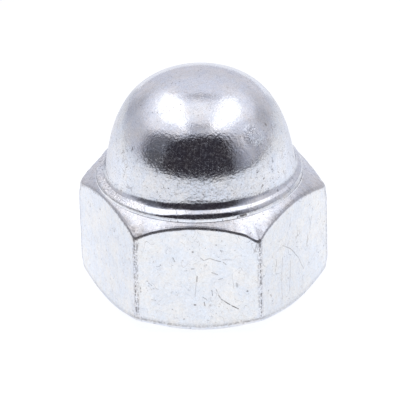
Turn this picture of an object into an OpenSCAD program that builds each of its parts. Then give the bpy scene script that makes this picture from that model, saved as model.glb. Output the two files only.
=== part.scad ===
// Cap nut, M10, 17 mm across flats: a hexagon with a rounded shoulder and a
// dome above it, and a blind threaded hole that opens at the flat bottom face.
// One piece. Millimetres, +Z up. The origin is the middle of the bottom face,
// on the thread's axis. Two corners of the hexagon point along X, and two
// flats face -Y and +Y.

// Which sub-part to draw

/* [Hexagon] */
// Distance across the flats
across_flats = 17; // [16:0.1:19]
// Height of the hexagon, up to the foot of the shoulder
hex_height = 9.7; // [8.5:0.1:11]
// Slope of the chamfer above the flats, from level
top_chamfer_angle = 34; // [24:1:40]
// Diameter of the flat bottom face
bearing_dia = 15.8; // [14.8:0.1:15.9]
// Slope of the chamfer below the flats, from level
bottom_chamfer_angle = 35; // [24:1:40]

/* [Shoulder] */
// Largest diameter of the shoulder, at its foot
shoulder_dia = 16.3; // [15.6:0.1:16.5]
// Radius of the rounded outer edge
shoulder_round = 0.95; // [0.75:0.05:1.1]
// Radius of the hollow where the shoulder runs into the dome
shoulder_fillet = 1.45; // [1.25:0.05:1.6]
// Steepest lean of the shoulder's surface: the angle of its normal above level
shoulder_lean = 47.5; // [45:0.5:52]
// How far the dome and shoulder sit to one side of the hexagon, along -X
head_offset = 0.15; // [0:0.05:0.3]

/* [Dome] */
// Height of the whole nut
overall_height = 18.3; // [18.2:0.1:19.2]
// Height at which the straight part of the dome's wall ends
wall_top = 13; // [12.6:0.1:13.1]
// Inward lean of that wall from upright
wall_draft = 11.5; // [10.5:0.5:14]
// Radius of the dome between its wall and its crown
dome_shoulder_radius = 6.4; // [5.6:0.1:6.5]

/* [Threaded hole] */
// Diameter over the thread's crests, which is the tapping size
minor_dia = 8.5; // [8.4:0.01:8.68]
// Depth of the round wall from the bottom face
hole_depth = 13.2; // [11.5:0.1:13.6]
// Diameter of the lead-in at the mouth
mouth_dia = 10.8; // [10.2:0.1:11.2]
// Included angle of the lead-in
mouth_angle = 120; // [90:1:120]
// Included angle of the drill point at the hole's end
drill_angle = 118; // [110:1:140]

/* [Hidden] */
$fn = 96;
steel = [0.80, 0.81, 0.84];

af2 = across_flats / 2;
corner = af2 / cos(30);
foot_r = shoulder_dia / 2;
bear_r = bearing_dia / 2;

// Where the two chamfer cones pass the corner of the hexagon
top_drop = (corner + 1 - foot_r) * tan(top_chamfer_angle);
bottom_rise = (corner + 1 - bear_r) * tan(bottom_chamfer_angle);

// A point at angle a and distance r from a centre c
function at(c, r, a) = [c[0] + r * cos(a), c[1] + r * sin(a)];

// The head's outline, from the foot of the shoulder to the top of the dome
c1 = [foot_r - shoulder_round, hex_height];
p1 = at(c1, shoulder_round, shoulder_lean);
c2 = at(p1, shoulder_fillet, shoulder_lean);
p2 = at(c2, -shoulder_fillet, wall_draft);
p3 = [p2[0] - (wall_top - p2[1]) * tan(wall_draft), wall_top];
c3 = at(p3, -dome_shoulder_radius, wall_draft);
h3 = overall_height - dome_shoulder_radius;
crown_z = (h3 * h3 - c3[0] * c3[0] - c3[1] * c3[1]) / (2 * (h3 - c3[1]));
crown_r = overall_height - crown_z;
crown_a = atan2(c3[1] - crown_z, c3[0]);

core_z = hex_height - 3;
mouth_h = (mouth_dia - minor_dia) / 2 / tan(mouth_angle / 2);
drill_h = minor_dia / 2 / tan(drill_angle / 2);

// Rounds that run into each other lap by this much, so that the joined solid
// has one clean edge there
lap = 0.001;
crown_foot = crown_z + crown_r * sin(crown_a);

// Half the head's section, on the +X side of its axis
module head_section() {
    // the middle, hollowed out where the shoulder runs into the wall
    difference() {
        polygon([
            [0, core_z], [c1[0], core_z], c1, c2,
            at(c2, -(shoulder_fillet - lap), wall_draft), p3, c3, [0, c3[1]]
        ]);
        translate(c2) circle(r = shoulder_fillet);
    }
    // the rounded outer edge
    translate(c1) circle(r = shoulder_round + lap);
    // the dome above its wall
    intersection() {
        translate(c3) circle(r = dome_shoulder_radius + lap);
        translate([0, core_z]) square([foot_r, overall_height]);
    }
    // the crown
    intersection() {
        translate([0, crown_z]) circle(r = crown_r);
        translate([0, crown_foot]) square([foot_r, overall_height]);
    }
}

// The hexagonal bar, chamfered above about the head's axis and below about
// its own
module hexagon() {
    intersection() {
        cylinder(h = hex_height, r = corner, $fn = 6);
        translate([-head_offset, 0, 0]) rotate_extrude() polygon([
            [0, -1], [corner + 1, -1],
            [corner + 1, hex_height - top_drop],
            [foot_r, hex_height], [0, hex_height]
        ]);
        rotate_extrude() polygon([
            [0, 0], [bear_r, 0], [corner + 1, bottom_rise],
            [corner + 1, hex_height + 1], [0, hex_height + 1]
        ]);
    }
}

module head() {
    translate([-head_offset, 0, 0]) rotate_extrude() head_section();
}

// The tapped hole, drawn at the diameter over the thread's crests
module hole() {
    rotate_extrude() polygon([
        [0, -1], [mouth_dia / 2 + tan(mouth_angle / 2), -1],
        [minor_dia / 2, mouth_h], [minor_dia / 2, hole_depth],
        [0, hole_depth + drill_h]
    ]);
}

module cap_nut() {
    color(steel) difference() {
        union() {
            hexagon();
            head();
        }
        hole();
    }
}

cap_nut();
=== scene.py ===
import math

import bpy
import numpy as np
from mathutils import Matrix, Vector


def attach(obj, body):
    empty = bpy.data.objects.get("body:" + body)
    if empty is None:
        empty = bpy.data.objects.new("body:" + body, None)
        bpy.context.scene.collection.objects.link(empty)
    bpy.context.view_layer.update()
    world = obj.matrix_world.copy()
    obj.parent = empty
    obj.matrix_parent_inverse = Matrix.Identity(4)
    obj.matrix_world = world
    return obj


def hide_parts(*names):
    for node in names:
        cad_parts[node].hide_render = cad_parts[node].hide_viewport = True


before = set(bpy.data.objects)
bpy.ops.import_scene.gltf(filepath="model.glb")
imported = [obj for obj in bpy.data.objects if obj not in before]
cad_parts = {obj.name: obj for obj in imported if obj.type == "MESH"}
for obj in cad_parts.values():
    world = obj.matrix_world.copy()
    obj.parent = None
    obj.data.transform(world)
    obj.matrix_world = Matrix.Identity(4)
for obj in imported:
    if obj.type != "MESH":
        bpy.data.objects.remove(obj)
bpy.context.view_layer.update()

# ---------------------------------------------------------------------------
# The nut's sizes, in millimetres, as in the part's construction
# ---------------------------------------------------------------------------
AF2 = 8.5  # half the distance across the flats
HEX_H = 9.7  # height of the hexagon
TOP_A = math.radians(34)  # chamfer above the flats
BOT_A = math.radians(35)  # chamfer below the flats
BEAR_R = 7.9  # flat bottom face
FOOT_R = 8.15  # foot of the shoulder
WALL_R, WALL_Z = 7.418, 11.026  # a point near the foot of the dome's wall
WALL_TOP = 12.59
DRAFT = math.radians(11.6)
DOME_ARCS = ((9.26, 30), (5.16, 60), (7.25, 76))  # radius, and the tilt it ends at
HOLE_R = 4.25
HOLE_D = 13.2
MOUTH_R = 5.4
PITCH = 1.5
THREAD_DEPTH = 0.78


# ---------------------------------------------------------------------------
# Smooth random fields, the same on every run
# ---------------------------------------------------------------------------
def field(p, scale, seed):
    """Smooth value noise in -1..1 at points p (n, 3), with cells of 1/scale mm."""
    q = np.asarray(p, float) * scale + 100.0
    i = np.floor(q).astype(np.int64)
    f = q - i
    f = f * f * (3 - 2 * f)
    out = np.zeros(len(q))
    for dx in (0, 1):
        for dy in (0, 1):
            for dz in (0, 1):
                h = (
                    (i[:, 0] + dx) * 374761393
                    + (i[:, 1] + dy) * 668265263
                    + (i[:, 2] + dz) * 2147483647
                    + seed * 144665
                )
                h = (h ^ (h >> 13)) * 1274126177
                h = (h ^ (h >> 16)) & 0xFFFFFF
                v = h / float(0xFFFFFF) * 2 - 1
                w = (
                    (f[:, 0] if dx else 1 - f[:, 0])
                    * (f[:, 1] if dy else 1 - f[:, 1])
                    * (f[:, 2] if dz else 1 - f[:, 2])
                )
                out += v * w
    return out


def smooth(a, b, x):
    t = np.clip((x - a) / (b - a), 0, 1)
    return t * t * (3 - 2 * t)


# ---------------------------------------------------------------------------
# Directions around the axis: close together at the six corners
# ---------------------------------------------------------------------------
def directions():
    near = [0.0, 0.3, 0.6, 0.95, 1.35, 1.8, 2.3, 2.9, 3.6, 4.5]
    half = near + list(np.linspace(5.6, 30.0, 19))
    out = []
    for k in range(6):
        c = 60.0 * k
        for d in half[:-1]:
            out.append(c + d)
        for d in reversed(half[1:]):
            out.append(c + 60.0 - d)
    return np.radians(np.array(out))


PHI = directions()
DEG = np.degrees(PHI)
N = len(PHI)
COS, SIN = np.cos(PHI), np.sin(PHI)
OFF_CORNER = np.abs((DEG + 30) % 60 - 30)  # degrees from the nearest corner
Z_TOP, Z_BOT = 8.54, 1.34  # the corners' ends, at the two chamfers


def corner_round(z):
    """Radius of the vertical edges at heights z: largest at both ends, uneven with wear."""
    p = np.stack([COS * 9.8, SIN * 9.8, z], 1)
    base = 0.25 + 0.05 * field(p, 0.9, 3) + 0.03 * field(p, 2.6, 4)
    up = np.clip((z - (Z_TOP - 1.2)) / 1.2, 0, 1.15)
    down = np.clip(((Z_BOT + 1.2) - z) / 1.2, 0, 1.15)
    sharp = np.minimum(np.abs(DEG - 240), np.abs(DEG - 300)) < 30  # the two at the front
    return base + np.where(sharp, 0.12, 0.50) * up**2.4 + 0.60 * down**2.4


def hex_radius(z):
    """Distance from the axis to the hexagon's side in each direction, with rounded corners."""
    rc = corner_round(z)
    off = np.radians(30 - OFF_CORNER)
    flat = AF2 / np.cos(off)
    tangent = np.arctan2((AF2 - rc) * math.tan(math.radians(30)), AF2)
    cd = (AF2 - rc) / math.cos(math.radians(30))
    e = np.radians(OFF_CORNER)
    arc = cd * np.cos(e) + np.sqrt(np.maximum(rc**2 - (cd * np.sin(e)) ** 2, 0))
    return np.where(np.abs(off) > tangent, arc, flat)


def fillet(p0, p1, p2, r, n):
    """Rows of points rounding the corner p1 of p0-p1-p2 in every direction at once."""
    u = p0 - p1
    v = p2 - p1
    lu = np.linalg.norm(u, axis=1)
    lv = np.linalg.norm(v, axis=1)
    u = u / lu[:, None]
    v = v / lv[:, None]
    half = np.arccos(np.clip((u * v).sum(1), -1, 1)) / 2
    t = np.minimum(r / np.tan(half), 0.42 * np.minimum(lu, lv))
    rr = t * np.tan(half)
    b = u + v
    b = b / np.linalg.norm(b, axis=1)[:, None]
    c = p1 + b * (rr / np.sin(half))[:, None]
    a = p1 + u * t[:, None] - c
    e = p1 + v * t[:, None] - c
    ang = np.arccos(np.clip((a * e).sum(1) / np.maximum(rr**2, 1e-12), -1, 1))
    out = []
    for s in np.linspace(0, 1, n):
        w0 = np.sin((1 - s) * ang) / np.sin(ang)
        w1 = np.sin(s * ang) / np.sin(ang)
        out.append(c + a * w0[:, None] + e * w1[:, None])
    return out


# ---------------------------------------------------------------------------
# The shoulder: full and round at the front and right, pressed flatter at the left
# ---------------------------------------------------------------------------
def keyed(pairs):
    """A value for every direction from (degrees, value) pairs, smoothly joined."""
    d = np.array([p[0] for p in pairs], float)
    v = np.array([p[1] for p in pairs], float)
    x = DEG % 360
    order = np.argsort(d % 360)
    d, v = (d % 360)[order], v[order]
    d = np.concatenate([[d[-1] - 360], d, [d[0] + 360]])
    v = np.concatenate([[v[-1]], v, [v[0]]])
    k = np.clip(np.searchsorted(d, x, side="right") - 1, 0, len(d) - 2)
    t = (x - d[k]) / (d[k + 1] - d[k])
    t = t * t * (3 - 2 * t)
    return v[k] * (1 - t) + v[k + 1] * t


def shoulder_rows(foot_r):
    """Rows (r, z) from the shoulder's foot to the dome's wall, about the dome's axis."""
    crown = np.radians(keyed([(0, 57), (-26, 56), (-45, 55), (-90, 57), (-116, 54), (-131, 55), (-146, 68), (-165, 70), (180, 68), (90, 62)]))
    ra = keyed([(0, 0.72), (-26, 0.70), (-41, 0.84), (-56, 0.86), (-71, 0.90), (-86, 0.95), (-94, 0.90), (-101, 0.70), (-110, 0.36), (-118, 0.24), (-150, 0.20), (180, 0.30), (120, 0.7), (60, 0.7)])
    re = keyed([(0, 0.80), (-26, 1.00), (-41, 1.20), (-56, 1.27), (-86, 1.30), (-101, 1.31), (-116, 1.26), (-131, 1.10), (-150, 0.90), (180, 0.80), (120, 0.9), (60, 0.8)])
    rb = keyed([(0, 0.15), (-45, 0.15), (-86, 0.20), (-116, 0.15), (-150, 0.12), (180, 0.12), (90, 0.15)])
    e39 = math.radians(39)
    lift = keyed([(0, 0.10), (25, 0.20), (60, 0.22), (120, 0.22), (155, 0.22), (180, 0.18), (-150, 0.20), (-120, 0.22), (-110, 0.19), (-101, 0.11), (-90, 0.05), (-56, 0.05), (-41, 0.06), (-26, 0.08)])
    wall_foot = WALL_R + (WALL_Z - HEX_H - lift) * math.tan(DRAFT)
    budget = (foot_r - wall_foot) * math.cos(DRAFT)
    ka = 1 * (math.cos(DRAFT) - math.cos(e39 - DRAFT))
    kb = math.cos(e39 - DRAFT) - np.cos(crown - DRAFT)
    ke = 1 - math.cos(e39 - DRAFT)
    left = budget - ka * ra - ke * re
    rb = np.minimum(rb, 0.5 * left / kb)
    flat = (left - 2 * kb * rb) / np.sin(crown - DRAFT)
    rows = []
    r, z = foot_r.copy(), HEX_H + lift

    def arc(e0, e1, rad, n, sign):
        nonlocal r, z
        r0, z0 = r, z
        for t in np.linspace(0, 1, n)[1:]:
            e = e0 + (e1 - e0) * t
            r = r0 + sign * rad * (np.cos(e) - np.cos(e0))
            z = z0 + sign * rad * (np.sin(e) - np.sin(e0))
            rows.append((r, z))

    arc(np.zeros(N), np.full(N, e39), ra, 9, 1)
    arc(np.full(N, e39), crown, rb, 5, 1)
    r0, z0 = r, z
    for t in (0.34, 0.67, 1.0):
        r = r0 - t * flat * np.sin(crown)
        z = z0 + t * flat * np.cos(crown)
        rows.append((r, z))
    arc(crown, np.full(N, e39), rb, 5, -1)
    arc(np.full(N, e39), np.full(N, DRAFT), re, 9, -1)
    return rows


def dome_rows():
    """Points (r, z) from the top of the straight wall to just short of the pole."""
    r, z, tilt = WALL_R - (WALL_TOP - WALL_Z) * math.tan(DRAFT), WALL_TOP, DRAFT
    start = (r, z)
    pts = []
    for rad, end in DOME_ARCS:
        end = math.radians(end)
        mid_r, mid_z = r - rad * math.cos(tilt), z - rad * math.sin(tilt)
        n = int(round(math.degrees(end - tilt) / 1.9)) + 1
        for t in np.linspace(tilt, end, n)[1:]:
            pts.append((mid_r + rad * math.cos(t), mid_z + rad * math.sin(t)))
        (r, z), tilt = pts[-1], end
    crown = r / math.cos(tilt)
    mid_z = z - crown * math.sin(tilt)
    for t in np.linspace(tilt, math.pi / 2, 9)[1:-1]:
        pts.append((crown * math.cos(t), mid_z + crown * math.sin(t)))
    return start, pts, mid_z + crown


DOME_X, DOME_Y = -0.105, 0.04  # the dome's axis: a little off the hexagon's
RING_X, RING_Y = -0.19, 0.04  # centre of the shoulder's foot circle


def foot_circle(cx, cy):
    """Distance to the shoulder's foot in each direction, its circle centred at (cx, cy)."""
    return cx * COS + cy * SIN + np.sqrt(FOOT_R**2 - (cx * SIN - cy * COS) ** 2)


def build_nut():
    rows = []
    marks = {k: [] for k in ("edge", "low", "cham", "ring", "flat", "brink", "dull", "pale", "seam")}

    def push(xyz, **m):
        rows.append(xyz)
        for k in marks:
            v = m.get(k, 0.0)
            marks[k].append(np.full(N, v) if np.isscalar(v) else v)

    def hexrow(rz, **m):
        push(np.stack([rz[:, 0] * COS, rz[:, 0] * SIN, rz[:, 1]], 1), **m)

    def headrow(r, z, **m):
        z = np.full(N, z) if np.isscalar(z) else z
        push(np.stack([DOME_X + r * COS, DOME_Y + r * SIN, z], 1), **m)

    # ring of the chamfer's lower end, where each flat begins, and of its foot
    z_low = np.full(N, 1.0)
    for _ in range(4):
        r_low = hex_radius(z_low)
        z_low = (r_low - BEAR_R) * math.tan(BOT_A)
    # the two front corners are cut a little lower than the others
    for corner in (240, 300):
        z_low = z_low - 0.15 * np.exp(-(((DEG - corner) / 7.0) ** 2))
    z_up = np.full(N, 9.0)
    for _ in range(4):
        r_up = hex_radius(z_up)
        reach = np.hypot(r_up * COS - RING_X, r_up * SIN - RING_Y)
        z_up = HEX_H - (reach - FOOT_R) * math.tan(TOP_A)
    # the chamfer runs out higher at the back left, and its edge is a little ragged
    z_up = z_up + keyed([(0, 0.0), (30, 0.05), (120, 0.10), (150, 0.20), (172, 0.14), (-175, 0.0), (-90, 0.0)])
    z_up = z_up - 0.30 * np.exp(-(((DEG - 299) / 3.4) ** 2)) - 0.17 * np.exp(-(((DEG - 241) / 3.2) ** 2))
    rim = np.stack([r_up * COS, r_up * SIN, z_up], 1)
    z_up = z_up + 0.022 * field(rim, 1.3, 31) + 0.022 * field(rim, 3.1, 32)
    foot = foot_circle(RING_X, RING_Y)
    a = np.stack([np.full(N, MOUTH_R), np.zeros(N)], 1)
    b = np.stack([np.full(N, BEAR_R), np.zeros(N)], 1)
    c = np.stack([r_low, z_low], 1)
    d = np.stack([r_up, z_up], 1)
    e = np.stack([foot, np.full(N, HEX_H)], 1)
    up = e + np.array([0.0, 0.6])

    ring = np.stack([COS * 9, SIN * 9, np.zeros(N)], 1)
    at_corner = np.exp(-((OFF_CORNER / 4.0) ** 2))
    rb = 0.13 + 0.03 * field(ring, 0.7, 11)
    rc = 0.24 + 0.03 * field(ring, 0.8, 12) + 0.02 * field(ring, 2.5, 13)
    rc = rc + 0.08 * np.exp(-((OFF_CORNER / 5.0) ** 2))
    rd = 0.32 + 0.05 * field(ring, 0.7, 14) + 0.05 * field(ring, 2.9, 15) + 0.10 * at_corner
    rd = rd - 0.015 * np.exp(-(((DEG - 268) / 13) ** 2))
    re = 0.10 + 0.02 * field(ring, 1.5, 16)
    re = re + keyed([(0, 0.04), (-40, 0.0), (-110, 0.0), (-135, 0.05), (180, 0.06), (90, 0.0)])

    fb = fillet(a, b, c, rb, 5)
    fc = fillet(b, c, d, rc, 6)
    fd = fillet(c, d, e, rd, 8)
    fe = fillet(d, e, up, re, 6)

    for s in np.linspace(0, 1, 4)[:-1]:
        hexrow(a + s * (fb[0] - a))
    for q in fb:
        hexrow(q)
    for s in np.linspace(0, 1, 5)[1:-1]:
        hexrow(fb[-1] + s * (fc[0] - fb[-1]))
    away = 9.8 * np.sin(np.radians(OFF_CORNER))  # mm from the corner line
    # a rubbed line down each corner, wider on the side of the front flat
    facing = keyed([(-90, 0.8), (-118, 0.8), (-122, 0.35), (-62, 0.5), (-58, 0.3), (0, 0.3), (90, 0.5), (180, 0.3)])

    def line(s):
        """The rubbed line at a height s of the flat, spreading out under the chamfer."""
        w = 1 + 0.7 * smooth(0.84, 1.0, s)
        near = np.exp(-((away / (0.075 * w)) ** 2))
        return near + facing * np.exp(-(((away - 0.17 * w) / (0.06 * w)) ** 2))

    # how dark the lower edge is made, by direction: scuffs, and painted shade that the edge would reflect from the
    # shadow under the nut, most at the front corners
    scuff_and_shade = keyed([(0, 0.3), (-50, 0.45), (-62, 1.0), (-90, 0.65), (-118, 1.0), (-130, 0.45), (180, 0.3), (90, 0.5)])
    for i, q in enumerate(fc):
        hexrow(q, low=scuff_and_shade * (0.0, 0.0, 0.0, 0.0, 0.1, 0.6)[i])
    # the part of the fillet rows that must still meet the flat's own outline
    for s in np.concatenate(
        [[0.012, 0.03, 0.055], np.linspace(0.09, 0.91, 24), [0.945, 0.97, 0.988]]
    ):
        q = fc[-1] + s * (fd[0] - fc[-1])
        q = q.copy()
        exact = hex_radius(q[:, 1])
        blend = smooth(0, 0.10, min(s, 1 - s))
        q[:, 0] = exact * blend + q[:, 0] * (1 - blend)
        reach = corner_round(q[:, 1]) * 0.577 + 0.04
        hexrow(
            q,
            edge=line(s) * (1 - 0.75 * math.exp(-((s / 0.06) ** 2))),
            flat=smooth(0.6, 1.3, away / reach),
            low=scuff_and_shade * (1.0 if s < 0.02 else (0.3 if s < 0.04 else 0.0)),
        )
    scraped = keyed([(0, 0.2), (-20, 0.3), (-42, 0.5), (-55, 0.8), (-59, 1.0), (-90, 0.8), (-121, 1.0), (-132, 0.9), (-150, 0.6), (180, 0.5), (90, 0.5)])
    # how much darker the chamfer and its fillets are made, by direction: darker towards the front
    dull = keyed([(-50, 0.1), (-64, 0.2), (-75, 1.0), (-90, 1.0), (-102, 0.7), (-112, 0.3), (-120, 0.4), (-130, 0.1), (180, 0.1), (60, 0.1)])
    # painted shade on the chamfer of the two side flats, strongest toward the front corners
    side = keyed([(0, 0.5), (-25, 0.9), (-45, 1.1), (-56, 0.65), (-62, 0.18), (-68, 0.1), (-112, 0.3), (-119, 1.1), (-135, 0.9), (-160, 0.5), (180, 0.2), (90, 0.1)])
    # painted highlight: how much lighter the chamfer and its fillets are made, by direction, most at the back and the
    # right
    pale = keyed([(-162, 0.0), (-172, 0.3), (170, 0.9), (150, 1.0), (30, 1.0), (12, 0.8), (-4, 0.3), (-14, 0.0)])
    for i, q in enumerate(fd):
        hexrow(
            q,
            edge=line(1.0) * (1 - i / 7.0),
            brink=scraped * (0.15, 0.6, 1.0, 1.0, 1.0, 0.9, 0.4, 0.1)[i],
            dull=np.minimum(dull + 1.5 * side, 1.8) * i / 7.0,
            pale=pale * i / 7.0,
        )
    for i, s in enumerate(np.linspace(0, 1, 8)[1:-1]):
        hexrow(
            fd[-1] + s * (fe[0] - fd[-1]),
            cham=1.0,
            dull=np.minimum(dull + 1.5 * side * max(0.0, 1 - s / 0.62), 1.8),
            pale=pale * (1 - 0.8 * s),
        )
    # painted highlight on the fillet at the chamfer's top, by direction
    highlight_dirs = keyed([(10, 1.0), (-30, 1.0), (-50, 0.3), (-100, 0.0), (-118, 0.3), (-132, 1.0), (180, 1.0), (90, 0.5)])
    for i, q in enumerate(fe):
        hexrow(
            q,
            cham=1.0 if i < 2 else 0.0,
            dull=dull if i < 3 else 0.0,
            pale=highlight_dirs * (0.3, 1.0, 1.0, 1.0, 1.0, 0.5)[i],
        )

    # the shoulder, the dome's wall and its round top
    foot_d = foot_circle(RING_X - DOME_X, RING_Y - DOME_Y)
    n_head = len(rows)
    ring_rows = shoulder_rows(foot_d)
    floor_z = fe[-1][:, 1]
    torn = keyed([(0, 1.2), (-40, 1.0), (-105, 1.0), (-122, 1.8), (-145, 3.0), (-172, 3.0), (160, 1.8), (120, 1.0)])
    seam = keyed([(0, 0.7), (-30, 0.6), (-50, 0.3), (-70, 0.0), (-98, 0.0), (-110, 0.6), (-120, 1.0), (-140, 1.2), (-165, 1.0), (170, 0.5), (90, 0.2)])
    for i, (r, z) in enumerate(ring_rows):
        z = np.maximum(z, floor_z + 0.004 * (i + 1))
        headrow(
            r,
            z,
            ring=torn * (1.0 if 6 <= i <= 17 else 0.35),
            seam=seam * (0.7, 1.0, 1.0, 0.6, 0.2)[i] if i < 5 else 0.0,
        )
    r0, z0 = ring_rows[-1]
    p3, pts, top_z = dome_rows()
    for s in np.linspace(0, 1, 12)[1:]:
        headrow(r0 + s * (p3[0] - r0), z0 + s * (p3[1] - z0))
    for r, z in pts:
        headrow(np.full(N, r), z)

    # the inside, from the drill point down to the mouth
    inner = []
    cone_h = HOLE_R / math.tan(math.radians(59))
    for s in (0.3, 0.6):
        inner.append((np.full(N, HOLE_R * s), HOLE_D + cone_h * (1 - s)))
    inner.append((np.full(N, HOLE_R * 0.97), HOLE_D + cone_h * 0.03))
    inner.append((np.full(N, HOLE_R), HOLE_D - 0.06))
    turns = PHI / (2 * math.pi)
    for z in np.linspace(12.6, 0.06, 76):
        f = (z / PITCH - turns) % 1.0
        depth = THREAD_DEPTH * np.clip((0.544 - np.abs(f - 0.5) * PITCH) / 0.45, 0, 1)
        depth = depth * (1 - smooth(10.6, 12.2, np.array(z)))
        r = np.maximum(HOLE_R + depth, MOUTH_R - z * math.tan(math.radians(60)))
        inner.append((r, z))

    count = len(rows) * N
    top = count
    inside0 = count + 1
    tip = inside0 + len(inner) * N
    co = np.concatenate(
        rows
        + [np.array([[DOME_X, DOME_Y, top_z]])]
        + [np.stack([r * COS, r * SIN, np.full(N, z)], 1) for r, z in inner]
        + [np.array([[0.0, 0.0, HOLE_D + cone_h]])]
    )
    zeros = np.zeros(len(inner) * N)

    j = np.arange(N)
    jn = (j + 1) % N
    quads = []

    def strip(r0, r1):
        quads.append(np.stack([r0 + j, r0 + jn, r1 + jn, r1 + j], 1))

    for i in range(len(rows) - 1):
        strip(i * N, (i + 1) * N)
    for i in range(len(inner) - 1):
        strip(inside0 + i * N, inside0 + (i + 1) * N)
    strip(inside0 + (len(inner) - 1) * N, 0)
    quads = np.concatenate(quads)
    last = (len(rows) - 1) * N
    tris = np.concatenate(
        [
            np.stack([last + j, last + jn, np.full(N, top)], 1),
            np.stack([inside0 + jn, inside0 + j, np.full(N, tip)], 1),
        ]
    )

    # slight unevenness where the shoulder was formed
    z = co[:, 2]
    head = np.zeros(len(co), bool)
    head[n_head * N : top + 1] = True
    amount = smooth(11.6, 10.9, z) * head
    radial = co - np.array([DOME_X, DOME_Y, 0])
    radial[:, 2] = 0
    radial /= np.maximum(np.linalg.norm(radial, axis=1), 1e-9)[:, None]
    push_out = 0.012 * field(co, 0.55, 21) + 0.006 * field(co, 1.8, 22)
    co = co + radial * (amount * push_out)[:, None]
    co[:, 2] += 0.012 * field(co, 0.5, 23) * amount

    mesh = bpy.data.meshes.new("cap_nut_visual")
    nv, nq, nt = len(co), len(quads), len(tris)
    mesh.vertices.add(nv)
    mesh.vertices.foreach_set("co", (co / 1000.0).astype(np.float32).ravel())
    loops = np.concatenate([quads.ravel(), tris.ravel()]).astype(np.int32)
    mesh.loops.add(len(loops))
    mesh.loops.foreach_set("vertex_index", loops)
    mesh.polygons.add(nq + nt)
    starts = np.concatenate([np.arange(nq) * 4, nq * 4 + np.arange(nt) * 3])
    mesh.polygons.foreach_set("loop_start", starts.astype(np.int32))
    mesh.polygons.foreach_set("use_smooth", np.ones(nq + nt, bool))
    mesh.update(calc_edges=True)
    mesh.validate()
    for k, v in marks.items():
        att = mesh.attributes.new(k, "FLOAT", "POINT")
        full = np.concatenate([np.concatenate(v), [0.0], zeros, [0.0]])
        att.data.foreach_set("value", full.astype(np.float32))
    obj = bpy.data.objects.new("cap_nut_visual", mesh)
    bpy.context.scene.collection.objects.link(obj)
    return obj


nut = build_nut()
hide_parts("cap_nut")
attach(nut, "root")


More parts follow.
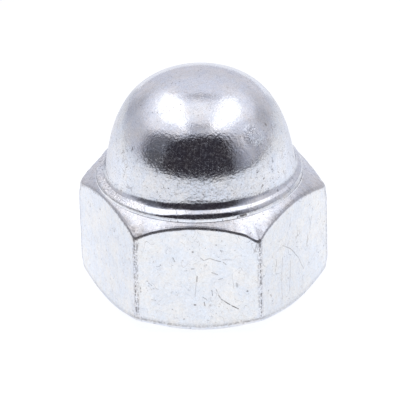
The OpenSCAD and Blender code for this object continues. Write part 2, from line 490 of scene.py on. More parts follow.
# ---------------------------------------------------------------------------
# Small helper to write shader arithmetic in lines instead of boxes
# ---------------------------------------------------------------------------
class Nodes:
    def __init__(self, tree):
        self.t = tree
        self.x = 0

    def new(self, kind, **props):
        n = self.t.nodes.new(kind)
        self.x += 40
        n.location = (self.x, -self.x % 400)
        for k, v in props.items():
            setattr(n, k, v)
        return n

    def put(self, socket, value):
        if isinstance(value, bpy.types.NodeSocket):
            self.t.links.new(value, socket)
        elif value is not None:
            socket.default_value = value

    def m(self, op, a, b=None, c=None):
        n = self.new("ShaderNodeMath", operation=op)
        self.put(n.inputs[0], a)
        if b is not None:
            self.put(n.inputs[1], b)
        if c is not None:
            self.put(n.inputs[2], c)
        return n.outputs[0]

    def add(self, a, b):
        return self.m("ADD", a, b)

    def sub(self, a, b):
        return self.m("SUBTRACT", a, b)

    def mul(self, a, *rest):
        for b in rest:
            a = self.m("MULTIPLY", a, b)
        return a

    def step(self, x, a, b, lo=0.0, hi=1.0):
        """Smoothly from lo to hi as x goes from a to b."""
        n = self.new("ShaderNodeMapRange", interpolation_type="SMOOTHSTEP", clamp=False)
        self.put(n.inputs[0], x)
        self.put(n.inputs[1], a)
        self.put(n.inputs[2], b)
        self.put(n.inputs[3], lo)
        self.put(n.inputs[4], hi)
        return n.outputs[0]

    def noise(self, vec, scale, detail=2.0, rough=0.5, dist=0.0):
        n = self.new("ShaderNodeTexNoise")
        self.put(n.inputs["Vector"], vec)
        self.put(n.inputs["Scale"], scale)
        self.put(n.inputs["Detail"], detail)
        self.put(n.inputs["Roughness"], rough)
        self.put(n.inputs["Distortion"], dist)
        return n.outputs[0]

    def cells(self, vec, scale, rand=1.0):
        """Distance to the nearest scattered point, and that point's own random value."""
        n = self.new("ShaderNodeTexVoronoi")
        self.put(n.inputs["Vector"], vec)
        self.put(n.inputs["Scale"], scale)
        self.put(n.inputs["Randomness"], rand)
        r, g, b = self.split(n.outputs["Color"])
        return n.outputs["Distance"], r, g

    def vec(self, op, a, b=None, scale=None):
        n = self.new("ShaderNodeVectorMath", operation=op)
        self.put(n.inputs[0], a)
        if b is not None:
            self.put(n.inputs[1], b)
        if scale is not None:
            self.put(n.inputs["Scale"], scale)
        return n.outputs["Value"] if op in ("LENGTH", "DOT_PRODUCT") else n.outputs[0]

    def mapping(self, vec, rot=(0, 0, 0), scale=(1, 1, 1), loc=(0, 0, 0)):
        n = self.new("ShaderNodeMapping")
        self.put(n.inputs["Vector"], vec)
        n.inputs["Location"].default_value = loc
        n.inputs["Rotation"].default_value = rot
        n.inputs["Scale"].default_value = scale
        return n.outputs[0]

    def split(self, vec):
        n = self.new("ShaderNodeSeparateXYZ")
        self.put(n.inputs[0], vec)
        return n.outputs[0], n.outputs[1], n.outputs[2]

    def join(self, x, y, z):
        n = self.new("ShaderNodeCombineXYZ")
        self.put(n.inputs[0], x)
        self.put(n.inputs[1], y)
        self.put(n.inputs[2], z)
        return n.outputs[0]

    def mark(self, name):
        n = self.new("ShaderNodeAttribute", attribute_name=name)
        return n.outputs["Fac"]

    def mix(self, f, a, b):
        n = self.new("ShaderNodeMix", data_type="RGBA")
        self.put(n.inputs[0], f)
        self.put(n.inputs[6], a if not isinstance(a, tuple) else (*a, 1.0))
        self.put(n.inputs[7], b if not isinstance(b, tuple) else (*b, 1.0))
        return n.outputs[2]

    def mixf(self, f, a, b):
        n = self.new("ShaderNodeMix", data_type="FLOAT")
        self.put(n.inputs[0], f)
        self.put(n.inputs[2], a)
        self.put(n.inputs[3], b)
        return n.outputs[0]

    def hair(self, vec, scale, width, detail=1.0, dist=0.0):
        """Thin wandering lines: where a smooth noise passes its middle value."""
        h = self.noise(vec, scale, detail, 0.5, dist)
        return self.step(self.m("ABSOLUTE", self.sub(h, 0.5)), width * 0.4, width, 1.0, 0.0)

    def stroke(self, p, a, b, width):
        """A thin mark from a to b: 1 on its middle, 0 beyond its half width."""
        a, b = Vector(a), Vector(b)
        ba = b - a
        pa = self.vec("SUBTRACT", p, tuple(a))
        along = self.mul(self.vec("DOT_PRODUCT", pa, tuple(ba)), 1.0 / ba.length_squared)
        along = self.m("MINIMUM", self.m("MAXIMUM", along, 0.0), 1.0)
        off = self.vec("SUBTRACT", pa, self.vec("SCALE", tuple(ba), scale=along))
        return self.step(self.vec("LENGTH", off), width * 0.35, width, 1.0, 0.0)

    def spot(self, p, a, size):
        off = self.vec("LENGTH", self.vec("SUBTRACT", p, tuple(a)))
        return self.step(off, size * 0.35, size, 1.0, 0.0)

    def bump(self, height, distance, normal=None):
        n = self.new("ShaderNodeBump")
        n.inputs["Strength"].default_value = 1.0
        n.inputs["Distance"].default_value = distance
        self.put(n.inputs["Height"], height)
        if normal is not None:
            self.t.links.new(normal, n.inputs["Normal"])
        return n.outputs[0]


# ---------------------------------------------------------------------------
# Bright zinc plate on steel
# ---------------------------------------------------------------------------
FRONT, RIGHT, LEFT = -90, -30, -150  # the way three of the flats face
SCRATCHES = (  # flat, (along it, height) from and to, how dark
    (FRONT, (1.42, 4.00), (1.57, 3.46), 0.26),
    (FRONT, (1.57, 3.46), (1.79, 3.10), 0.36),
    (FRONT, (1.79, 3.10), (2.17, 2.83), 0.46),
    (FRONT, (2.17, 2.83), (2.63, 2.52), 0.52),
    (FRONT, (2.63, 2.52), (3.06, 2.28), 0.62),
    (FRONT, (0.25, 6.81), (0.48, 6.59), 0.26),
    (FRONT, (0.48, 6.59), (0.95, 6.77), 0.30),
    (FRONT, (0.95, 6.77), (1.41, 6.59), 0.30),
    (FRONT, (1.41, 6.59), (1.79, 6.51), 0.34),
    (FRONT, (1.95, 6.64), (2.65, 6.64), 0.14),
    (FRONT, (-1.88, 6.80), (-1.77, 6.49), 0.36),
    (FRONT, (1.07, 5.52), (1.53, 5.32), 0.30),
    (FRONT, (-0.47, 5.82), (-0.24, 5.83), 0.34),
    (FRONT, (-0.03, 5.16), (-0.11, 4.71), 0.38),
    (FRONT, (-0.15, 4.71), (-0.27, 3.36), 0.16),
    (FRONT, (1.07, 3.90), (1.11, 3.45), 0.42),
    (FRONT, (0.39, 3.27), (0.62, 3.09), 0.30),
    (FRONT, (0.46, 2.82), (0.51, 2.50), 0.38),
    (FRONT, (-3.19, 6.01), (-2.95, 6.04), 0.24),
    (FRONT, (-4.52, 4.23), (-4.48, 3.74), 0.36),
    (FRONT, (-3.66, 3.07), (-3.35, 2.98), 0.28),
    (FRONT, (1.60, 4.90), (1.91, 5.01), 0.24),
    (FRONT, (-3.81, 4.51), (-3.62, 4.33), 0.32),
    (FRONT, (2.02, 6.42), (2.21, 6.24), 0.28),
    (FRONT, (-1.02, 5.64), (-0.83, 5.66), 0.26),
    (RIGHT, (-1.75, 6.39), (-0.60, 5.55), 0.24),
    (RIGHT, (-0.60, 5.55), (0.55, 4.18), 0.26),
    (RIGHT, (0.55, 4.18), (1.26, 2.83), 0.20),
    (RIGHT, (2.55, 6.90), (2.23, 5.97), 0.26),
    (RIGHT, (-1.78, 5.33), (-1.98, 3.36), 0.22),
    (RIGHT, (-1.98, 3.36), (-1.89, 1.50), 0.18),
    (RIGHT, (-0.63, 4.49), (-0.85, 1.88), 0.18),
)
SPOTS = (  # flat, (along it, height), size, how dark
    (FRONT, (-0.28, 2.59), 0.14, 0.46),
    (FRONT, (-2.87, 6.15), 0.10, 0.36),
    (FRONT, (-3.92, 4.69), 0.10, 0.30),
    (FRONT, (-3.48, 4.06), 0.09, 0.24),
    (FRONT, (-4.02, 4.10), 0.09, 0.22),
    (FRONT, (3.81, 3.87), 0.13, 0.46),
    (FRONT, (-1.18, 1.32), 0.10, 0.40),
    (FRONT, (-0.33, 7.32), 0.12, 0.46),
    (FRONT, (-0.54, 7.56), 0.09, 0.30),
    (FRONT, (1.85, 7.45), 0.11, 0.34),
    (FRONT, (1.48, 7.97), 0.11, 0.30),
    (FRONT, (0.70, 6.18), 0.10, 0.28),
    (FRONT, (-1.11, 6.54), 0.10, 0.26),
    (FRONT, (-3.09, 2.62), 0.09, 0.24),
    (FRONT, (-2.37, 7.20), 0.08, 0.20),
    (FRONT, (3.34, 6.43), 0.08, 0.20),
    (FRONT, (2.37, 4.54), 0.08, 0.22),
    (FRONT, (-1.70, 3.71), 0.08, 0.20),
    (RIGHT, (3.51, 3.17), 0.10, 0.34),
    (RIGHT, (-3.34, 2.23), 0.10, 0.32),
    (RIGHT, (-3.89, 3.41), 0.11, 0.34),
    (LEFT, (-1.00, 8.21), 0.12, 0.46),
    (LEFT, (-0.10, 4.96), 0.12, 0.20),
    (LEFT, (0.79, 7.20), 0.12, 0.18),
)


GOUGES = (  # on the shoulder and the dome: from, to, half width, how dark
    ((3.12, -7.44, 9.83), (3.28, -7.38, 9.84), 0.10, 0.75),
    ((3.42, -7.30, 9.86), (3.74, -7.11, 9.88), 0.14, 0.85),
    ((4.87, -8.44, 8.05), (4.87, -8.44, 8.42), 0.24, 0.70),
    ((-4.87, -8.44, 8.25), (-4.87, -8.44, 8.50), 0.20, 0.62),
    ((5.21, -2.74, 15.45), (5.25, -2.70, 15.38), 0.17, 0.45),
    ((2.01, -6.09, 14.53), (2.06, -6.08, 14.50), 0.14, 0.30),
    ((-1.91, -6.27, 14.35), (-1.88, -6.26, 14.40), 0.12, 0.30),
    ((-1.29, -3.38, 17.52), (-1.27, -3.40, 17.51), 0.11, 0.34),
    ((-1.27, -3.91, 17.28), (-1.26, -3.93, 17.27), 0.13, 0.40),
    ((0.03, 1.10, 18.23), (0.05, 1.08, 18.23), 0.12, 0.30),
    ((3.70, 2.10, 17.10), (3.80, 2.00, 17.08), 0.12, 0.30),
)


REFLECTION_PATCHES = (  # painted reflection on the dome: middle, size, how much darker (lighter where negative)
    ((3.95, -3.86, 15.96), 0.75, 0.13),
    ((4.70, -4.10, 14.74), 0.60, 0.13),
    ((5.05, -2.30, 16.0), 1.20, 0.15),
    ((-5.14, -1.94, 16.22), 1.00, 0.06),
    ((-5.00, -1.10, 16.60), 0.50, 0.10),
    ((-4.40, -1.45, 17.00), 0.50, 0.08),
    ((3.74, -4.74, 15.2), 0.50, -0.14),
    ((-3.61, -4.01, 16.28), 0.80, -0.08),
)


def on_flat(facing, u, h):
    """A point of a flat, u along it and h above the bottom, in mm."""
    a = math.radians(facing)
    c, s = math.cos(a), math.sin(a)
    return (AF2 * c - u * s, AF2 * s + u * c, h)


def zinc():
    mat = bpy.data.materials.new("zinc_plate")
    mat.use_nodes = True
    t = mat.node_tree
    t.nodes.clear()
    g = Nodes(t)
    out = g.new("ShaderNodeOutputMaterial")
    bsdf = g.new("ShaderNodeBsdfPrincipled")
    t.links.new(bsdf.outputs[0], out.inputs[0])
    tc = g.new("ShaderNodeTexCoord")
    mm = g.vec("SCALE", tc.outputs["Object"], scale=1000.0)
    x, y, z = g.split(mm)
    edge, low, cham, ring, flat, brink, dull, pale, seam = [
        g.mark(k)
        for k in ("edge", "low", "cham", "ring", "flat", "brink", "dull", "pale", "seam")
    ]
    head = g.step(z, 10.9, 11.4)
    tall = g.mapping(mm, scale=(1.0, 1.0, 0.16))  # drawn along the bar

    # colour: cool and warm clouds, a fine speckle, drawing lines on the flats
    cloud = g.noise(mm, 0.62, 4.0, 0.6)
    patch = g.noise(g.vec("ADD", mm, (31.0, 7.0, 3.0)), 1.6, 3.0, 0.6)
    speck = g.noise(mm, 5.6, 3.0, 0.75)
    drawn = g.noise(tall, 4.2, 3.0, 0.65)
    col = g.mix(g.step(cloud, 0.36, 0.66), (0.780, 0.815, 0.880), (0.838, 0.842, 0.852))
    tinge = g.noise(g.vec("ADD", mm, (12.0, 3.0, 17.0)), 3.4, 3.0, 0.7)
    col = g.vec("MULTIPLY", col, g.mix(g.step(tinge, 0.34, 0.66), (0.982, 1.0, 1.022), (1.014, 0.996, 0.982)))
    # painted shade: the flats are made a little darker and warmer than the head, dimming the floor they reflect
    col = g.vec("MULTIPLY", col, g.mix(flat, (1.0, 1.0, 1.0), (0.985, 0.980, 0.955)))
    # painted light: the left flat's colour is made a little lighter than the others', most near its bottom
    toward = g.add(g.mul(x, -0.866), g.mul(y, -0.5))
    col = g.vec("SCALE", col, scale=g.add(1.0, g.mul(g.step(toward, 8.3, 8.4), flat, g.step(z, 2.0, 6.5, 0.085, 0.045))))
    tone = g.add(1.0, g.mul(g.sub(patch, 0.5), g.mixf(flat, 0.16, 0.13)))
    tone = g.mul(tone, g.add(1.0, g.mul(g.sub(speck, 0.5), g.mixf(flat, 0.30, 0.30))))
    fine = g.sub(g.noise(mm, 8.5, 2.0, 0.7), 0.5)
    tone = g.mul(tone, g.add(1.0, g.mul(fine, g.mixf(flat, 0.34, 0.12))))
    tone = g.mul(tone, g.add(1.0, g.mul(g.sub(drawn, 0.5), flat, 0.13)))

    # small pits, scattered and clustered
    d1, h1, _ = g.cells(mm, 1.15)
    pit = g.mul(g.step(d1, 0.045, 0.10, 1.0, 0.0), g.step(h1, 0.60, 0.62))
    d2, h2, _ = g.cells(g.vec("ADD", mm, (5.5, 2.5, 9.5)), 3.2)
    crowd = g.step(g.noise(mm, 0.42, 2.0, 0.5), 0.50, 0.62)
    pits = g.mul(g.step(d2, 0.10, 0.26, 1.0, 0.0), g.step(h2, 0.62, 0.66), crowd)

    # hair scratches in two directions, broken into short lengths
    s1 = g.mul(
        g.hair(g.mapping(mm, rot=(0.5, 0.2, 0.7), scale=(0.9, 0.9, 0.5)), 0.9, 0.007, 1.0, 0.4),
        g.step(g.noise(g.vec("ADD", mm, (3.0, 8.0, 1.0)), 0.9, 1.0), 0.52, 0.57),
    )
    s2 = g.mul(
        g.hair(g.mapping(mm, rot=(1.1, -0.4, 0.2), scale=(1.2, 1.2, 0.7)), 1.3, 0.010, 2.0),
        g.step(g.noise(g.vec("ADD", mm, (9.0, 4.0, 6.0)), 1.4, 1.0), 0.53, 0.58),
    )
    hair = g.m("MAXIMUM", s1, g.mul(s2, 0.8))

    dark = g.m("MAXIMUM", g.mul(pit, g.mixf(flat, 0.52, 0.36)), g.mul(pits, g.mixf(flat, 0.38, 0.28)))
    dark = g.m("MAXIMUM", dark, g.mul(hair, g.mixf(head, 0.28, 0.20)))
    # short nicks, crowded on the lower part of the dome
    s3 = g.mul(
        g.hair(g.mapping(mm, rot=(0.3, 1.2, 0.5), scale=(1.3, 1.0, 0.8)), 2.6, 0.023, 1.0, 0.5),
        g.step(g.noise(g.vec("ADD", mm, (14.0, 2.0, 6.0)), 2.6, 1.0), 0.545, 0.60),
    )
    dark = g.m("MAXIMUM", dark, g.mul(s3, g.step(z, 13.5, 16.8, 0.52, 0.18), g.mixf(flat, 1.0, 0.2)))

    # the larger marks of the flats that face the viewer, each broken and crooked
    sway = g.mul(g.sub(g.noise(mm, 1.4, 2.0), 0.5), 0.35)
    sway2 = g.mul(g.sub(g.noise(mm, 1.9, 2.0), 0.5), 0.30)
    bent = g.vec("ADD", mm, g.join(sway, sway2, g.m("MULTIPLY", sway, -1.0)))
    near = g.vec("ADD", mm, g.vec("SCALE", g.vec("SUBTRACT", bent, mm), scale=0.45))
    broken = g.step(g.noise(mm, 4.2, 3.0, 0.7), 0.36, 0.52, 0.35, 1.0)
    for facing, p, q, shade in SCRATCHES:
        line = g.stroke(near, on_flat(facing, *p), on_flat(facing, *q), 0.066)
        dark = g.m("MAXIMUM", dark, g.mul(line, broken, shade * 1.25))
    for p, q, width, shade in GOUGES:
        line = g.stroke(bent, p, q, width)
        dark = g.m("MAXIMUM", dark, g.mul(line, broken, shade))
    for facing, p, size, shade in SPOTS:
        dark = g.m("MAXIMUM", dark, g.mul(g.spot(near, on_flat(facing, *p), size), shade * 1.1))

    # scratched corners, and the lower edge: scuffs, with painted shade from the shadow under the nut
    rub = g.noise(g.mapping(mm, scale=(1, 1, 0.6)), 7.5, 3.0, 0.75)
    worn = g.mul(edge, g.step(rub, 0.45, 0.55, 0.06, 1.0))
    burr_and_shade = g.mul(low, g.step(g.noise(mm, 4.5, 3.0, 0.75), 0.38, 0.56, 0.30, 1.0))
    dark = g.m("MAXIMUM", dark, g.m("MINIMUM", g.mul(worn, 0.80), 0.85))
    dark = g.m("MAXIMUM", dark, g.mul(burr_and_shade, 0.52))
    crumb = g.noise(mm, 4.6, 4.0, 0.75)
    rough_ch = g.mul(cham, g.step(crumb, 0.52, 0.70))
    dark = g.m("MAXIMUM", dark, g.mul(rough_ch, g.mixf(dull, 0.20, 0.42)))
    dark = g.m("MAXIMUM", dark, g.mul(brink, g.step(rub, 0.40, 0.56, 0.05, 0.55)))
    # the chamfer's darkening broken into patches, including the painted shade near the front corners
    chamfer_dark_mottle = g.mul(dull, g.step(g.noise(mm, 3.4, 4.0, 0.75), 0.34, 0.64, 0.11, 0.31))
    dark = g.m("MAXIMUM", dark, chamfer_dark_mottle)

    # the torn surface of the shoulder at the left: bright and dark crumbs
    torn = g.step(ring, 1.3, 2.6)
    chips = g.noise(g.vec("ADD", mm, (8.0, 1.0, 4.0)), 7.5, 3.0, 0.75)
    dark = g.m("MAXIMUM", dark, g.mul(torn, g.step(chips, 0.36, 0.46, 0.48, 0.0)))
    dark = g.m("MAXIMUM", dark, g.mul(seam, g.step(crumb, 0.38, 0.60, 0.30, 0.60)))
    tone = g.mul(tone, g.add(1.0, g.mul(torn, g.step(chips, 0.48, 0.56), 0.20)))
    for p, size, shade in REFLECTION_PATCHES:
        tone = g.mul(tone, g.add(1.0, g.mul(g.spot(mm, p, size), -shade)))
    # painted light: the top of the dome is made 2% lighter
    tone = g.mul(tone, g.step(z, 16.0, 17.4, 1.0, 1.022))
    tone = g.mul(tone, g.sub(1.0, dark))
    # painted highlight: the chamfer and its fillets are made up to 20% lighter
    tone = g.mul(tone, g.add(1.0, g.mul(pale, 0.20)))
    # painted light: the flats are made up to 6% lighter towards the back
    tone = g.mul(tone, g.add(1.0, g.mul(flat, g.step(y, -5.0, -1.0, 0.0, 0.06))))
    col = g.vec("SCALE", col, scale=tone)
    warm = g.mix(g.m("MINIMUM", g.mul(dark, 1.2), 1.0), (1.0, 1.0, 1.0), (1.0, 0.945, 0.925))
    col = g.vec("MULTIPLY", col, warm)
    t.links.new(col, bsdf.inputs["Base Color"])
    # a thin haze in the plating, stronger in tiny specks
    grit = g.noise(g.vec("ADD", mm, (21.0, 11.0, 5.0)), 5.4, 3.0, 0.7)
    haze = g.mul(g.step(grit, 0.44, 0.72, 0.012, 0.14), g.step(z, 9.6, 9.9))
    t.links.new(g.sub(1.0, haze), bsdf.inputs["Metallic"])
    bsdf.inputs["Specular Tint"].default_value = (0.78, 0.78, 0.80, 1.0)

    rn = g.noise(mm, 1.3, 3.0, 0.6)
    rough = g.add(0.100, g.mul(g.sub(rn, 0.5), 0.10))
    rough = g.add(rough, g.mul(g.step(grit, 0.50, 0.70), head, 0.10))
    rough = g.add(rough, g.mul(flat, 0.10))
    rough = g.add(rough, g.mul(cham, 0.09))
    rough = g.add(rough, g.mul(dark, 0.40))
    rough = g.add(rough, g.mul(brink, 0.10))
    d3, h3, _ = g.cells(g.vec("ADD", mm, (1.5, 6.5, 4.5)), 4.6)
    fleck = g.mul(g.step(d3, 0.08, 0.30, 1.0, 0.0), g.step(h3, 0.50, 0.62), head)
    rough = g.add(rough, g.mul(fleck, 0.20))
    scuff = g.stroke(mm, (-2.45, -5.66, 15.1), (-2.72, -6.14, 13.9), 0.26)
    rough = g.add(rough, g.mul(scuff, g.step(crumb, 0.45, 0.62), 0.22))
    t.links.new(rough, bsdf.inputs["Roughness"])

    n = g.bump(g.noise(mm, 2.2, 2.0, 0.6), 8.0e-6)
    # roughest at the middle of the dome's front, finer on its top and down its wall
    grain = g.add(g.step(z, 15.4, 17.4, 17.0, 9.0), g.step(z, 13.2, 14.8, -9.0, 0.0))
    n = g.bump(g.mul(g.noise(mm, 5.2, 2.0, 0.65), grain), 1.0e-6, n)
    # a battered patch at the right of the dome
    hit = g.vec("LENGTH", g.vec("SUBTRACT", mm, (4.35, -4.05, 15.3)))
    hit = g.step(hit, 0.35, 1.15, 1.0, 0.0)
    n = g.bump(g.mul(g.noise(mm, 3.0, 3.0, 0.7), hit), 1.4e-4, n)
    f1 = g.hair(g.mapping(mm, rot=(0.9, 0.3, 0.2), scale=(1, 1, 0.6)), 2.2, 0.022, 1.0, 0.4)
    f2 = g.hair(g.mapping(mm, rot=(0.1, 0.8, 1.2), scale=(0.8, 1, 1)), 3.0, 0.022, 1.0, 0.2)
    keep = g.step(g.noise(g.vec("ADD", mm, (2.0, 5.0, 8.0)), 2.2, 2.0), 0.52, 0.62)
    fibre = g.mul(g.m("MAXIMUM", f1, f2), keep, g.mixf(head, 0.45, 0.30))
    n = g.bump(fibre, -1.8e-6, n)
    rip = g.mul(g.noise(mm, 3.6, 4.0, 0.7), g.m("MAXIMUM", cham, g.mul(ring, 0.75)))
    n = g.bump(rip, 2.6e-5, n)
    lines = g.mul(g.sub(drawn, 0.5), flat)
    n = g.bump(lines, 6.0e-6, n)
    n = g.bump(g.m("MAXIMUM", worn, brink), -1.2e-5, n)
    t.links.new(n, bsdf.inputs["Normal"])
    return mat


nut.data.materials.append(zinc())


# ---------------------------------------------------------------------------
# Stage: white table, soft white tent with a dark opening on the camera's side
# ---------------------------------------------------------------------------
def table():
    size = 3.0
    mesh = bpy.data.meshes.new("table_top")
    mesh.from_pydata(
        [(-size, -size, 0), (size, -size, 0), (size, size, 0), (-size, size, 0)],
        [],
        [(0, 1, 2, 3)],
    )
    obj = bpy.data.objects.new("table_top", mesh)
    bpy.context.scene.collection.objects.link(obj)
    mat = bpy.data.materials.new("table_white")
    mat.use_nodes = True
    t = mat.node_tree
    t.nodes.clear()
    g = Nodes(t)
    out = g.new("ShaderNodeOutputMaterial")
    dif = g.new("ShaderNodeBsdfDiffuse")
    em = g.new("ShaderNodeEmission")
    tc = g.new("ShaderNodeTexCoord")
    r = g.vec("LENGTH", tc.outputs["Object"])
    # painted light: the table glows brightest in a pool close around the nut, fading outwards
    e = g.mixf(g.step(r, 0.035, 0.08), 0.88, 0.72)
    e = g.mixf(g.step(r, 0.07, 0.25), e, 0.57)
    # brightest behind the nut; its front edge, well outside the picture, nearer on the right
    x, y, _ = g.split(tc.outputs["Object"])
    wedge = g.sub(y, g.mul(g.m("ABSOLUTE", x), 2.2))
    e = g.mixf(g.mul(g.step(wedge, 0.0, 0.02), g.step(y, 0.045, 0.070)), e, 0.95)
    on = g.step(g.sub(g.mul(x, 0.55), y), 0.265, 0.30, 1.0, 0.0)
    e = g.mul(e, g.mixf(on, 0.05, 1.0))
    t.links.new(e, em.inputs[1])
    t.links.new(g.mix(on, (0.02, 0.02, 0.02), (0.25, 0.25, 0.25)), dif.inputs[0])
    em.inputs[0].default_value = (0.985, 1.0, 1.04, 1)
    add = g.new("ShaderNodeAddShader")
    t.links.new(dif.outputs[0], add.inputs[0])
    t.links.new(em.outputs[0], add.inputs[1])
    t.links.new(add.outputs[0], out.inputs[0])
    mesh.materials.append(mat)
    return obj


table()


def studio_light(g, x, y, z, az, el):
    """How bright the tent is in a direction: azimuth 0 is the camera's side."""
    turn = g.m("ABSOLUTE", az)
    rear = g.step(turn, 138, 160)
    wall = g.mixf(
        g.step(el, 22, 42), g.mixf(rear, 0.58, 0.71), g.mixf(rear, 0.90, 0.77)
    )
    roof = g.mixf(g.step(el, 62, 73), 0.50, 0.90)
    roof = g.mixf(g.step(el, 72, 82), roof, 1.0)
    v = g.mixf(g.step(el, 50, 61), wall, roof)
    # behind the nut the roof is even, but for one narrow darker strip
    plain = g.mixf(g.step(el, 60, 80), 0.80, 1.0)
    strip = g.mul(g.step(el, 55, 61), g.step(el, 64, 71, 1.0, 0.0))
    strip = g.mul(strip, g.step(turn, 152, 172, 0.10, 0.34))
    v = g.mixf(g.step(turn, 95, 125), v, g.mixf(g.step(el, 46, 54), wall, g.sub(plain, strip)))

    # two soft lights overhead, left and right of the camera
    ceil = g.m("DIVIDE", x, g.m("MAXIMUM", z, 0.05))
    low_l = g.sub(el, g.mul(g.m("MAXIMUM", g.add(az, 90), 0.0), 0.08))
    low_l = g.sub(low_l, g.step(g.m("ABSOLUTE", g.add(az, 50)), 6, 18, 3.5, 0.0))
    low_l = g.add(low_l, g.mul(g.m("MAXIMUM", g.sub(-90, az), 0.0), 0.15))
    left = g.mul(g.step(az, -156, -140), g.step(az, -34, -10, 1.0, 0.0))
    left = g.mul(left, g.step(low_l, 45, 57))
    left = g.mul(left, g.step(ceil, -0.30, -0.17, 1.0, 0.0))
    low_r = g.sub(el, g.mul(g.m("MAXIMUM", g.sub(85, az), 0.0), 0.15))
    right = g.mul(g.step(az, 27, 42), g.step(az, 138, 152, 1.0, 0.0))
    right = g.mul(right, g.step(low_r, 43, 53))
    right = g.mul(right, g.step(ceil, 0.20, 0.36))
    v = g.mixf(g.m("MAXIMUM", left, right), v, 1.45)

    # the dark opening, with a grey flap at each side
    ahead = g.m("MAXIMUM", g.mul(y, -1.0), 0.02)
    high = g.m("DIVIDE", z, ahead)
    across = g.m("DIVIDE", x, ahead)
    low = g.step(g.sub(el, g.step(az, -80, -64, 3.5, 0.0)), -0.3, 1.0)
    az_s = g.sub(az, g.step(el, 11, 17, 8.0, 0.0))
    span = g.mul(g.step(az, -92, -84), g.step(az_s, 74, 86, 1.0, 0.0))
    grey_l = g.step(az, -92, -66, 0.56, g.step(el, 13, 22, 0.095, 0.155))
    az_up = g.add(az, g.mul(g.m("MAXIMUM", g.sub(el, 10), 0.0), 0.35))
    grey_r = g.step(az_up, 49, 77, 0.16, 0.58)
    grey_r = g.add(grey_r, g.mul(g.step(az, 56, 70), g.step(el, 9, 21, -0.06, 0.12)))
    grey_r = g.sub(grey_r, g.mul(g.step(az, 72, 84), g.step(el, 9, 17, 0.14, 0.0)))
    grey = g.mixf(g.step(az, -1, 1), grey_l, grey_r)
    slope_l = g.add(el, g.mul(g.m("MAXIMUM", g.sub(-48, az), 0.0), 0.26))
    slope_l = g.add(slope_l, g.mul(g.m("MAXIMUM", g.sub(-62, az), 0.0), 0.50))
    slope_l = g.sub(slope_l, g.step(az, 60, 80, 0.0, 4.0))
    slope_l = g.add(slope_l, g.step(az, -28, -12, 2.0, 0.0))
    slope_l = g.add(slope_l, g.step(az, 38, 50, 0.0, 4.0))
    top = g.mul(g.step(slope_l, 36, 52, 1.0, 0.0), span)
    v = g.mixf(g.mul(top, low), v, grey)
    az_in = g.add(az, g.mul(g.m("MAXIMUM", g.sub(el, 18), 0.0), 0.10))
    inner = g.mul(g.step(az, -50, -40), g.step(az_in, 43, 50, 1.0, 0.0))
    high2 = g.add(high, g.step(across, -0.9, 0.0, 0.36, 0.0))
    cut = g.mul(inner, g.step(high2, 0.95, 1.60, 1.0, 0.0))
    v = g.mixf(g.mul(cut, low), v, 0.026)

    # a seam in the tent behind at the left, and a dim patch straight above
    seam = g.mul(g.step(g.m("ABSOLUTE", g.add(az, 131)), 3, 13, 0.07, 0.0), g.step(el, 28, 38, 1.0, 0.0))
    dim = g.mul(g.step(g.m("ABSOLUTE", g.sub(az, 10)), 12, 40, 0.13, 0.0), g.step(el, 74, 79))
    dim = g.mul(dim, g.step(el, 82, 87, 1.0, 0.0))
    dash = g.mul(g.step(g.m("ABSOLUTE", az), 9, 22, 0.13, 0.0), g.step(el, 60, 64))
    dash = g.mul(dash, g.step(el, 71, 76, 1.0, 0.0))
    glow = g.mul(g.step(turn, 118, 142), g.step(el, 12, 20, 0.05, 0.0))
    return g.add(g.sub(g.sub(g.sub(v, seam), dim), dash), glow)


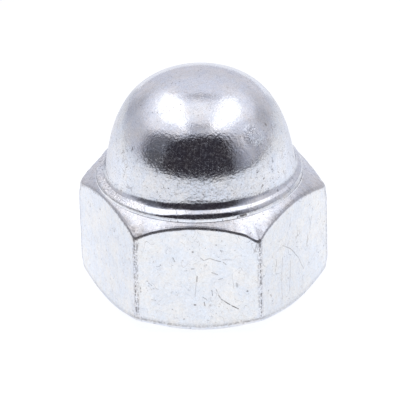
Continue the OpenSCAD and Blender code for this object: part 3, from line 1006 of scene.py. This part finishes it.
def studio():
    world = bpy.data.worlds.new("studio")
    bpy.context.scene.world = world
    world.use_nodes = True
    t = world.node_tree
    t.nodes.clear()
    g = Nodes(t)
    out = g.new("ShaderNodeOutputWorld")
    bg = g.new("ShaderNodeBackground")
    t.links.new(bg.outputs[0], out.inputs[0])
    tc = g.new("ShaderNodeTexCoord")
    x, y, z = g.split(g.vec("NORMALIZE", tc.outputs["Generated"]))
    az = g.mul(g.m("ARCTAN2", x, g.mul(y, -1.0)), 180 / math.pi)
    el = g.mul(g.m("ARCSINE", z), 180 / math.pi)
    light = studio_light(g, x, y, z, az, el)
    lav = g.mul(g.step(light, 0.25, 0.6), g.step(light, 0.8, 1.05, 1.0, 0.0))
    tint = g.mix(lav, (1.0, 0.985, 1.02), (1.01, 1.0, 1.085))
    # the greys beside the opening are the bluest, and the opening itself is violet
    deep = g.mul(g.step(light, 0.05, 0.11), g.step(light, 0.36, 0.60, 1.0, 0.0))
    tint = g.mix(deep, tint, (1.0, 1.0, 1.16))
    tint = g.mix(g.step(light, 0.035, 0.07, 1.0, 0.0), tint, (1.0, 0.84, 1.14))
    t.links.new(g.vec("SCALE", tint, scale=light), bg.inputs[0])
    bg.inputs[1].default_value = 1.0


studio()

# ---------------------------------------------------------------------------
# Camera: a long lens, 30 degrees above the table, almost square to a flat
# ---------------------------------------------------------------------------
ELEV, AZIM, ROLL = math.radians(30.12), math.radians(3.766), math.radians(1.629)
DIST, FOCAL = 21.19 * 0.017, 213.25 * 21.19  # metres, and pixels of a 400 wide frame
OFFX, OFFY = (199.5 - 204.6) / FOCAL, (278.42 - 199.5) / FOCAL

back = Vector(
    (
        math.sin(AZIM) * math.cos(ELEV),
        -math.cos(AZIM) * math.cos(ELEV),
        math.sin(ELEV),
    )
)
right = Vector((math.cos(AZIM), math.sin(AZIM), 0))
up = Vector(
    (-math.sin(AZIM) * math.sin(ELEV), math.cos(AZIM) * math.sin(ELEV), math.cos(ELEV))
)
cr, sr = math.cos(ROLL), math.sin(ROLL)
right2 = right * cr - up * sr
up2 = right * sr + up * cr
look = (right2 * OFFX + up2 * OFFY - back).normalized()
cz = -look
cx = up2.cross(cz).normalized()
cy = cz.cross(cx)
cam_data = bpy.data.cameras.new("camera")
cam = bpy.data.objects.new("camera", cam_data)
bpy.context.scene.collection.objects.link(cam)
m = Matrix.Identity(4)
for i in range(3):
    m[i][0], m[i][1], m[i][2] = cx[i], cy[i], cz[i]
    m[i][3] = back[i] * DIST
cam.matrix_world = m
cam_data.sensor_width = 36.0
cam_data.lens = 36.0 * FOCAL / 400.0
cam_data.clip_start = 0.01
cam_data.clip_end = 20.0
bpy.context.scene.camera = cam

bpy.context.scene.view_settings.view_transform = "Standard"
bpy.context.scene.view_settings.look = "None"
bpy.context.scene.view_settings.exposure = 0.0
bpy.context.scene.view_settings.gamma = 1.0
